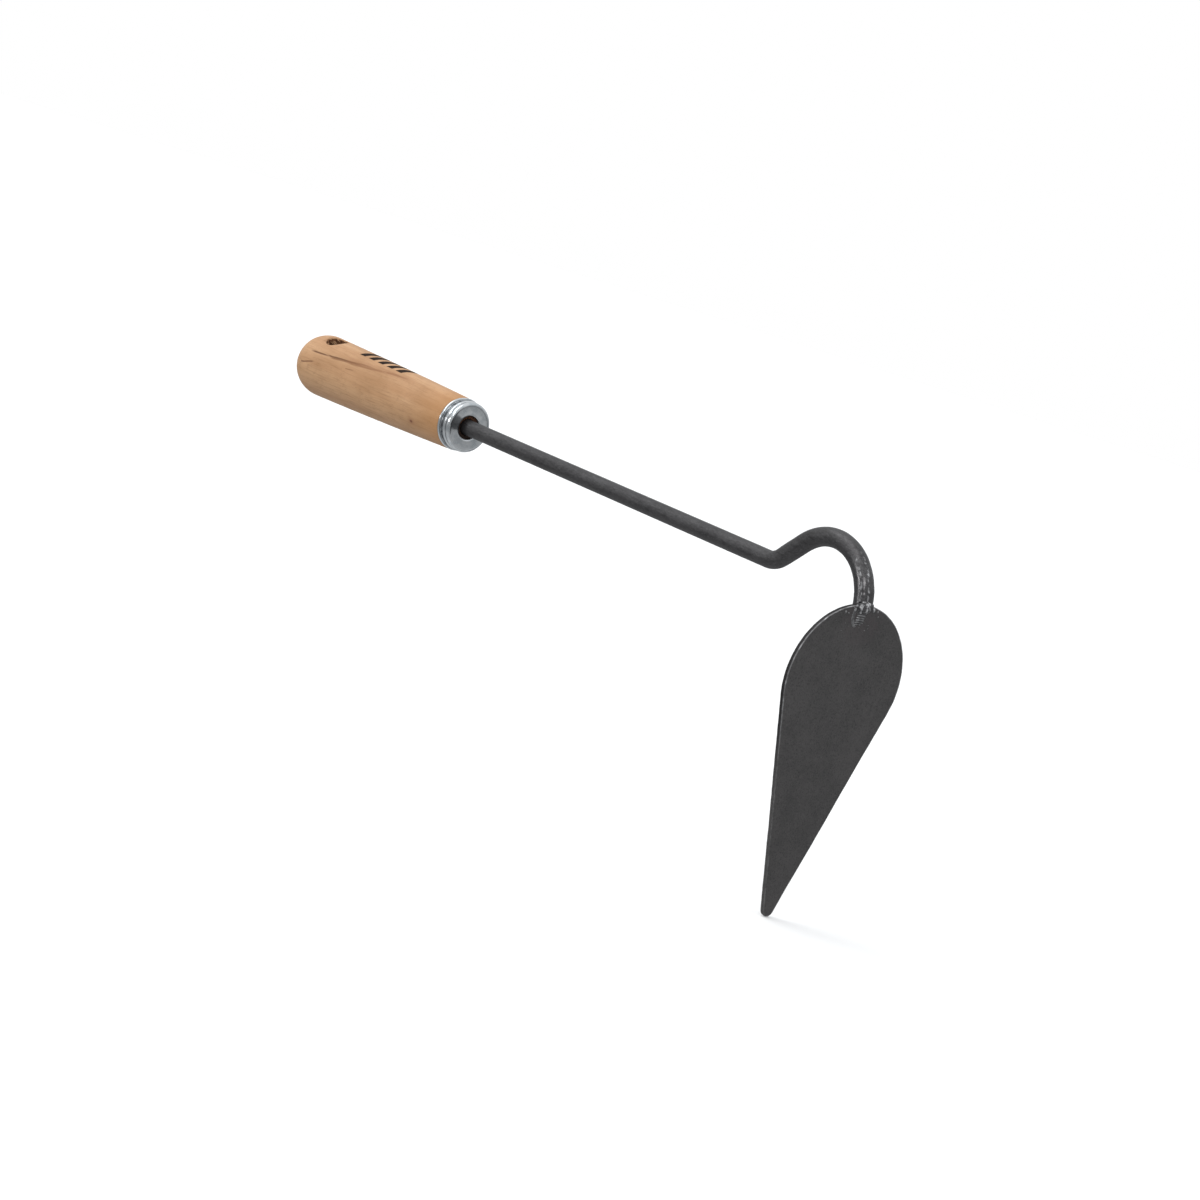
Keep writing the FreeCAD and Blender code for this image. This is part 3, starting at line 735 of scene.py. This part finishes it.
def blade_half_widths():
    """Half width and height of the blade at rows from the top of the head to the tip."""
    lean = math.asin((HEAD_RADIUS - TIP_RADIUS) / TIP_DISTANCE)
    tip_z = HEAD_Z - TIP_DISTANCE
    rows = [(HEAD_RADIUS * math.sin(t), HEAD_Z + HEAD_RADIUS * math.cos(t))
            for t in np.linspace(0.0, math.pi / 2 + lean, 74)]
    start, end = rows[-1], (TIP_RADIUS * math.cos(lean), tip_z - TIP_RADIUS * math.sin(lean))
    rows += [(start[0] + (end[0] - start[0]) * part, start[1] + (end[1] - start[1]) * part)
             for part in np.linspace(0.0, 1.0, 86)[1:]]
    rows += [(TIP_RADIUS * math.cos(t), tip_z - TIP_RADIUS * math.sin(t))
             for t in np.linspace(lean, math.pi / 2, 12)[1:]]
    return rows


def make_blade(material):
    """The leaf-shaped plate: a nicked rim cut with shears and with painted shade on its side faces,
    softened arrises and a faint roll in the sheet.
    """
    rows = blade_half_widths()
    # places across a row from -1 to 1, closer together near the rim
    crowding = math.pi / 2 * 0.92
    columns = np.sin(np.linspace(-1.0, 1.0, 57) * crowding) / math.sin(crowding)
    half = BLADE_THICK / 2
    middle_x = BLADE_FRONT - half
    # the rim's section: millimetres outwards, and depth from 1 at the front to -1 at the back
    rim = [(-0.42, 1.0), (-0.12, 0.90), (0.0, 0.62), (0.03, 0.0), (0.0, -0.70), (-0.10, -0.93),
           (-0.42, -1.0)]

    points, faces = [], []

    def add(y, z, depth):
        points.append((middle_x + depth * half, y, z))
        return len(points) - 1

    outline = np.array(rows + [(-w, z) for w, z in rows[-2:0:-1]])
    before, after = np.roll(outline, 1, axis=0), np.roll(outline, -1, axis=0)
    tangent = after - before
    tangent /= np.linalg.norm(tangent, axis=1)[:, None]
    normal = np.stack([-tangent[:, 1], tangent[:, 0]], axis=1)
    nick = rough(np.column_stack([outline, np.zeros(len(outline))]), 2.6, 3, 31.0) * 0.09
    edge = outline + normal * nick[:, None]
    inner = edge + normal * rim[0][0]

    def sheet(depth, flip):
        """A face of the plate as rows of quads inside the rim; returns the ids along the rim."""
        count = len(rows)
        ids = []
        for index in range(count):
            right = inner[index]
            left = inner[-index] if 0 < index < count - 1 else inner[index]
            if index in (0, count - 1):
                ids.append([add(right[0], right[1], depth)])
                continue
            mid, span = (right + left) / 2, (right - left) / 2
            ids.append([add(mid[0] + span[0] * c, mid[1] + span[1] * c, depth) for c in columns])
        for upper, lower in zip(ids, ids[1:]):
            if len(upper) == 1 or len(lower) == 1:
                point, row = (upper[0], lower) if len(upper) == 1 else (lower[0], upper)
                for a, b in zip(row, row[1:]):
                    face = (point, b, a) if len(upper) == 1 else (point, a, b)
                    faces.append(face if flip else face[::-1])
                continue
            for a, b, c, d in zip(upper, upper[1:], lower[1:], lower):
                faces.append((a, b, c, d) if flip else (d, c, b, a))
        return [row[-1] for row in ids] + [row[0] for row in ids[-2:0:-1]]

    loops = [sheet(1.0, True)]
    back = sheet(-1.0, False)
    for out, depth in rim[1:-1]:
        loops.append([add(*(edge[i] + normal[i] * out), depth) for i in range(len(edge))])
    loops.append(back)
    size = len(edge)
    for one, two in zip(loops, loops[1:]):
        for i in range(size):
            j = (i + 1) % size
            faces.append((one[i], two[i], two[j], one[j]))

    points = np.array(points)
    roll = rough(points * np.array([0.0, 1.0, 1.0]), 34.0, 2, 2.0) * 0.22
    ripple = rough(points * np.array([0.0, 1.0, 1.0]), 7.0, 2, 12.0) * 0.03
    near_neck = smoothstep(30.0, 6.0, np.hypot(points[:, 1], points[:, 2] - BLADE_TOP))
    points[:, 0] += (roll * (1.0 - near_neck)) + ripple
    obj = make_piece("blade_plate", points, faces, ["blade"], [material])

    arris = np.zeros(len(points))
    painted_rim_shade = np.zeros(len(points))
    for loop, amount in ((loops[0], 1.0), (loops[1], 1.0), (loops[-2], 0.5)):
        arris[loop] = amount
    # painted shade on the rim's side faces, strongest towards the top of the blade
    for loop in loops[2:-2]:
        painted_rim_shade[loop] = smoothstep(-95.0, -45.0, points[loop, 2])
    set_attribute(obj, "painted_rim_shade", painted_rim_shade)
    # the arrises: worn bare metal with a painted highlight, the highlight fading towards the tip
    patchy = smoothstep(-0.35, 0.30, rough(points, 4.0, 3, 41.0))
    upper = smoothstep(-75.0, -12.0, points[:, 2])
    set_attribute(obj, "wear_and_glint", arris * (0.35 + 0.65 * patchy) * (0.16 + 0.84 * upper))


# ---------------------------------------------------------------- weld

TONGUE_Y = -2.6
RIPPLE_PITCH = 1.0
LAP_MIDDLE_Z = BLADE_TOP - 7.0


def blob_mesh(name, blobs, voxel):
    """One closed mesh from overlapping ellipsoids: centre and half sizes in millimetres."""
    bm = bmesh.new()
    for centre, radii in blobs:
        made = bmesh.ops.create_icosphere(bm, subdivisions=4, radius=1.0)
        sized = Matrix.Diagonal((*(Vector(radii) * MM), 1.0))
        placed = Matrix.Translation(Vector(centre) * MM) @ sized
        bmesh.ops.transform(bm, matrix=placed, verts=made["verts"])
    mesh = bpy.data.meshes.new(name)
    bm.to_mesh(mesh)
    bm.free()
    return remeshed(name, mesh, voxel)


def relax(points, faces, rounds, amount=0.5):
    """Move each point towards the middle of its neighbours."""
    edges = set()
    for face in faces:
        for a, b in zip(face, face[1:] + face[:1]):
            edges.add((min(a, b), max(a, b)))
    edges = np.array(sorted(edges))
    for _ in range(rounds):
        total = np.zeros_like(points)
        count = np.zeros(len(points))
        for a, b in ((0, 1), (1, 0)):
            np.add.at(total, edges[:, a], points[edges[:, b]])
            np.add.at(count, edges[:, a], 1)
        points = points + amount * (total / count[:, None] - points)
    return points


def make_front_weld(material):
    """The puddle over the end of the neck and a rippled tongue down the blade's face."""
    face = BLADE_FRONT
    blobs = [
        ((face - 0.7, -1.0, BLADE_TOP - 0.3), (1.7, 4.4, 1.9)),
        ((face - 0.1, -2.6, BLADE_TOP - 2.0), (1.7, 3.9, 2.0)),
        ((face - 0.5, -2.5, BLADE_TOP - 4.6), (1.5, 2.6, 2.6)),
        ((face - 0.9, -2.6, BLADE_TOP - 6.7), (1.7, 3.0, 2.5)),
        ((face - 0.5, -6.4, BLADE_TOP - 2.2), (0.9, 2.2, 1.5)),
        ((face - 0.5, -7.2, BLADE_TOP - 4.4), (1.0, 1.1, 2.2)),
        ((face - 0.5, -7.1, BLADE_TOP - 6.3), (1.0, 1.1, 1.8)),
        ((face - 0.5, -6.4, BLADE_TOP - 8.0), (1.0, 1.2, 1.5)),
        ((face - 0.5, -5.0, BLADE_TOP - 9.2), (1.0, 1.6, 1.1)),
        ((face - 0.5, 2.4, BLADE_TOP - 1.6), (1.0, 2.2, 1.5)),
        ((face - 0.4, -4.4, BLADE_TOP - 2.9), (1.3, 1.8, 1.7)),
        ((face - 0.9, -4.9, BLADE_TOP - 0.4), (1.2, 2.0, 1.3)),
    ]
    mesh = blob_mesh("weld_front_base", blobs, 0.28)
    points, faces = mesh_arrays(mesh)
    points = relax(points, faces, 4)
    normals = mesh_normals(mesh)
    tongue = smoothstep(BLADE_TOP - 3.8, BLADE_TOP - 4.8, points[:, 2])
    bowed = points[:, 2] + 0.05 * (points[:, 1] - TONGUE_Y) ** 2
    ripple = np.sin(bowed * math.tau / RIPPLE_PITCH)
    lumps = rough(points, 1.5, 3, 17.0)
    below = smoothstep(BLADE_TOP - 3.0, BLADE_TOP - 4.5, points[:, 2])
    ridge = smoothstep(-5.0, -6.0, points[:, 1]) * below
    tongue = tongue * (1.0 - ridge)
    swell = 0.38 * lumps * (1.0 - 0.7 * tongue) * (1.0 - 0.6 * ridge)
    points = points + normals * (0.13 * ripple * tongue + swell)[:, None]
    points[:, 0] = np.maximum(points[:, 0], face - 0.35)
    obj = make_piece("weld_front", points, faces, ["weld_bead_front"], [material])
    # painted highlights in bright metal on the tops of the lumps, a little more above the blade's
    # top, and on the tongue's ripple crests
    above = points[:, 2] > BLADE_TOP - 0.2
    painted_lump_glint = smoothstep(0.0, 0.45, lumps) * (0.80 + 0.2 * above)
    painted_lump_glint *= (1.0 - 0.7 * tongue) * (1.0 - 0.8 * ridge)
    painted_crest_glint = smoothstep(0.0, 0.8, ripple) * tongue * 0.50 + ridge * 0.10
    set_attribute(obj, "wear_and_glint", np.clip(painted_lump_glint + painted_crest_glint, 0.0, 1.0))


def make_back_weld(material):
    """The bead down one side of the lap, under its end and up the other side."""
    blobs = []
    for t in np.linspace(-0.15 * math.pi, 1.15 * math.pi, 21):
        reach = 3.2 if math.sin(t) > 0 else 7.0
        centre = (BLADE_BACK - 0.1, 5.0 * math.cos(t), LAP_MIDDLE_Z - reach * math.sin(t))
        blobs.append((centre, (1.7, 1.75, 1.75)))
    mesh = blob_mesh("weld_back_base", blobs, 0.3)
    points, faces = mesh_arrays(mesh)
    points = relax(points, faces, 3)
    normals = mesh_normals(mesh)
    angle = np.arctan2(LAP_MIDDLE_Z - points[:, 2], points[:, 1])
    ripple = np.sin(angle * 15.0)
    lumps = rough(points, 1.6, 3, 19.0)
    points = points + normals * (0.13 * ripple + 0.22 * lumps)[:, None]
    points[:, 0] = np.minimum(points[:, 0], BLADE_BACK + 0.3)
    obj = make_piece("weld_back", points, faces, ["weld_bead_back"], [material])
    # painted highlights in bright metal on the tops of the lumps
    set_attribute(obj, "wear_and_glint", smoothstep(0.0, 0.6, lumps) * 0.35)


def make_spatter(material):
    """Droplets of weld metal stuck to the blade's face and rim around the puddle."""
    draw = np.random.default_rng(7)
    points, faces, painted_drop_glint = [], [], []
    # Y, Z and radius of the five large drops, then of small ones at random
    placed = [(-12.2, BLADE_TOP - 4.4, 0.62), (-10.4, BLADE_TOP - 4.6, 0.5),
              (6.3, BLADE_TOP - 1.9, 0.5), (7.4, BLADE_TOP - 3.9, 0.4),
              (3.4, BLADE_TOP - 9.6, 0.35)]
    for _ in range(26):
        turn, off = draw.uniform(0.0, math.tau), 6.5 + 9.0 * draw.random() ** 1.6
        y, z = -1.5 + off * math.cos(turn), BLADE_TOP - 4.5 + off * 0.8 * math.sin(turn)
        if math.hypot(y, z - HEAD_Z) < HEAD_RADIUS - 0.8:
            placed.append((y, z, draw.uniform(0.12, 0.34)))
    for y, z, radius in placed:
        bm = bmesh.new()
        bmesh.ops.create_icosphere(bm, subdivisions=2, radius=1.0)
        start = len(points)
        stretch = draw.uniform(0.8, 1.3)
        for vertex in bm.verts:
            dx, dy, dz = vertex.co
            points.append((BLADE_FRONT - 0.1 + max(dx, -0.3) * radius * 0.75,
                           y + dy * radius * stretch, z + dz * radius / stretch))
            painted_drop_glint.append(min(0.45, 0.7 * radius))
        faces += [tuple(start + v.index for v in face.verts) for face in bm.faces]
        bm.free()
    obj = make_piece("weld_spatter", points, faces, (), [material])
    # painted highlights in bright metal on the drops, more on the bigger ones
    set_attribute(obj, "wear_and_glint", painted_drop_glint)


# ---------------------------------------------------------------- studio

def make_floor():
    """A wide pale floor that the blade's tip stands on."""
    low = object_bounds()[0]
    mesh = bpy.data.meshes.new("floor")
    sides, radius = 96, 12.0
    corners = [(radius * math.cos(t), radius * math.sin(t), 0.0)
               for t in np.linspace(0.0, math.tau, sides, endpoint=False)]
    mesh.from_pydata(corners, [], [list(range(sides))])
    floor = bpy.data.objects.new("floor", mesh)
    bpy.context.scene.collection.objects.link(floor)
    floor.location = (0.0, 0.0, low.z - 0.0002)
    n = Nodes("floor_paint")
    mesh.materials.append(n.finish((0.97, 0.97, 0.97, 1.0), 0.6, Specular_IOR_Level=0.2))
    floor.visible_diffuse = False
    floor.visible_glossy = False


def aim_sun(name, energy, angle, direction):
    """A broad far source that shines from that direction; its angle is in degrees."""
    data = bpy.data.lights.new(name, "SUN")
    data.energy = energy
    data.angle = math.radians(angle)
    lamp = bpy.data.objects.new(name, data)
    lamp.rotation_mode = "QUATERNION"
    lamp.rotation_quaternion = Vector(direction).to_track_quat("Z", "Y")
    bpy.context.scene.collection.objects.link(lamp)


def make_lights():
    """A soft key from above, a front light, a low one and a surround that dims downwards."""
    aim_sun("key", 1.15, 48.0, (-0.35, -0.62, 1.0))
    aim_sun("front", 0.45, 10.0, (0.52, -0.66, 0.50))
    aim_sun("left", 0.40, 12.0, (-0.37, -0.90, 0.10))
    world = bpy.data.worlds.new("surround")
    world.use_nodes = True
    tree = world.node_tree
    tree.nodes.clear()

    def add(kind, **settings):
        made = tree.nodes.new(kind)
        for key, value in settings.items():
            setattr(made, key, value)
        return made

    place = add("ShaderNodeTexCoord")
    split = add("ShaderNodeSeparateXYZ")
    levels = []
    # from and to in the height of a ray's direction, and the light's strength at each: the
    # first ramp brightens towards the top and the second, from the same height, downwards
    for values in ((-0.30, 0.90, 0.38, 0.98), (-0.30, -1.00, 0.0, 0.30)):
        level = add("ShaderNodeMapRange", interpolation_type="SMOOTHSTEP")
        for socket, value in zip(level.inputs[1:5], values):
            socket.default_value = value
        levels.append(level)
    total = add("ShaderNodeMath", operation="ADD")
    light = add("ShaderNodeBackground")
    paper = add("ShaderNodeBackground")
    paper.inputs["Strength"].default_value = 1.0
    paper.inputs["Color"].default_value = (1.0, 1.0, 1.0, 1.0)
    light.inputs["Color"].default_value = (0.97, 0.985, 1.0, 1.0)
    rays = add("ShaderNodeLightPath")
    mix = add("ShaderNodeMixShader")
    output = add("ShaderNodeOutputWorld")
    link = tree.links.new
    link(place.outputs["Generated"], split.inputs[0])
    for level, socket in zip(levels, total.inputs):
        link(split.outputs["Z"], level.inputs["Value"])
        link(level.outputs[0], socket)
    link(total.outputs[0], light.inputs["Strength"])
    link(rays.outputs["Is Camera Ray"], mix.inputs[0])
    link(light.outputs[0], mix.inputs[1])
    link(paper.outputs[0], mix.inputs[2])
    link(mix.outputs[0], output.inputs[0])
    bpy.context.scene.world = world


# The camera, fitted to the photograph: angles, and metres from the point that it looks at.
AZIMUTH = math.radians(48.46)
ELEVATION = math.radians(7.73)
ROLL = math.radians(17.54)
DISTANCE = 1.2034
LOOK_AT = Vector((0.2571, 0.0, -0.0491))


def make_camera():
    """The photograph's view of the hoe."""
    data = bpy.data.cameras.new("camera")
    data.lens = 78.0
    data.sensor_width = 36.0
    data.clip_start, data.clip_end = 0.05, 50.0
    camera = bpy.data.objects.new("camera", data)
    flat = math.cos(ELEVATION)
    back = Vector((math.sin(AZIMUTH) * flat, -math.cos(AZIMUTH) * flat, math.sin(ELEVATION)))
    level = Vector((math.cos(AZIMUTH), math.sin(AZIMUTH), 0.0))
    above = back.cross(level)
    right = math.cos(ROLL) * level + math.sin(ROLL) * above
    up = math.cos(ROLL) * above - math.sin(ROLL) * level
    matrix = Matrix((right, up, back)).transposed().to_4x4()
    matrix.translation = LOOK_AT + back * DISTANCE
    camera.matrix_world = matrix
    bpy.context.scene.collection.objects.link(camera)
    bpy.context.scene.camera = camera


wood = wood_material()
zinc = zinc_material()
bar_steel = steel_material("black_bar", srgb(66, 65, 66), srgb(84, 83, 84),
                           srgb(104, 104, 105), 0.40, 0.58, stretch=0.35)
plate_steel = steel_material("black_plate", srgb(88, 87, 87), srgb(101, 99, 99),
                             srgb(117, 115, 115), 0.52, 0.66, heated=True)
weld_steel = steel_material("weld_metal", srgb(70, 69, 70), srgb(108, 107, 108),
                            srgb(130, 130, 132), 0.34, 0.52)

make_handle(wood)
make_splinters(wood)
make_ferrule(zinc)
make_shank(bar_steel)
make_blade(plate_steel)
make_front_weld(weld_steel)
make_back_weld(weld_steel)
make_spatter(weld_steel)
make_floor()
make_lights()
make_camera()
bpy.context.scene.view_settings.view_transform = "Standard"
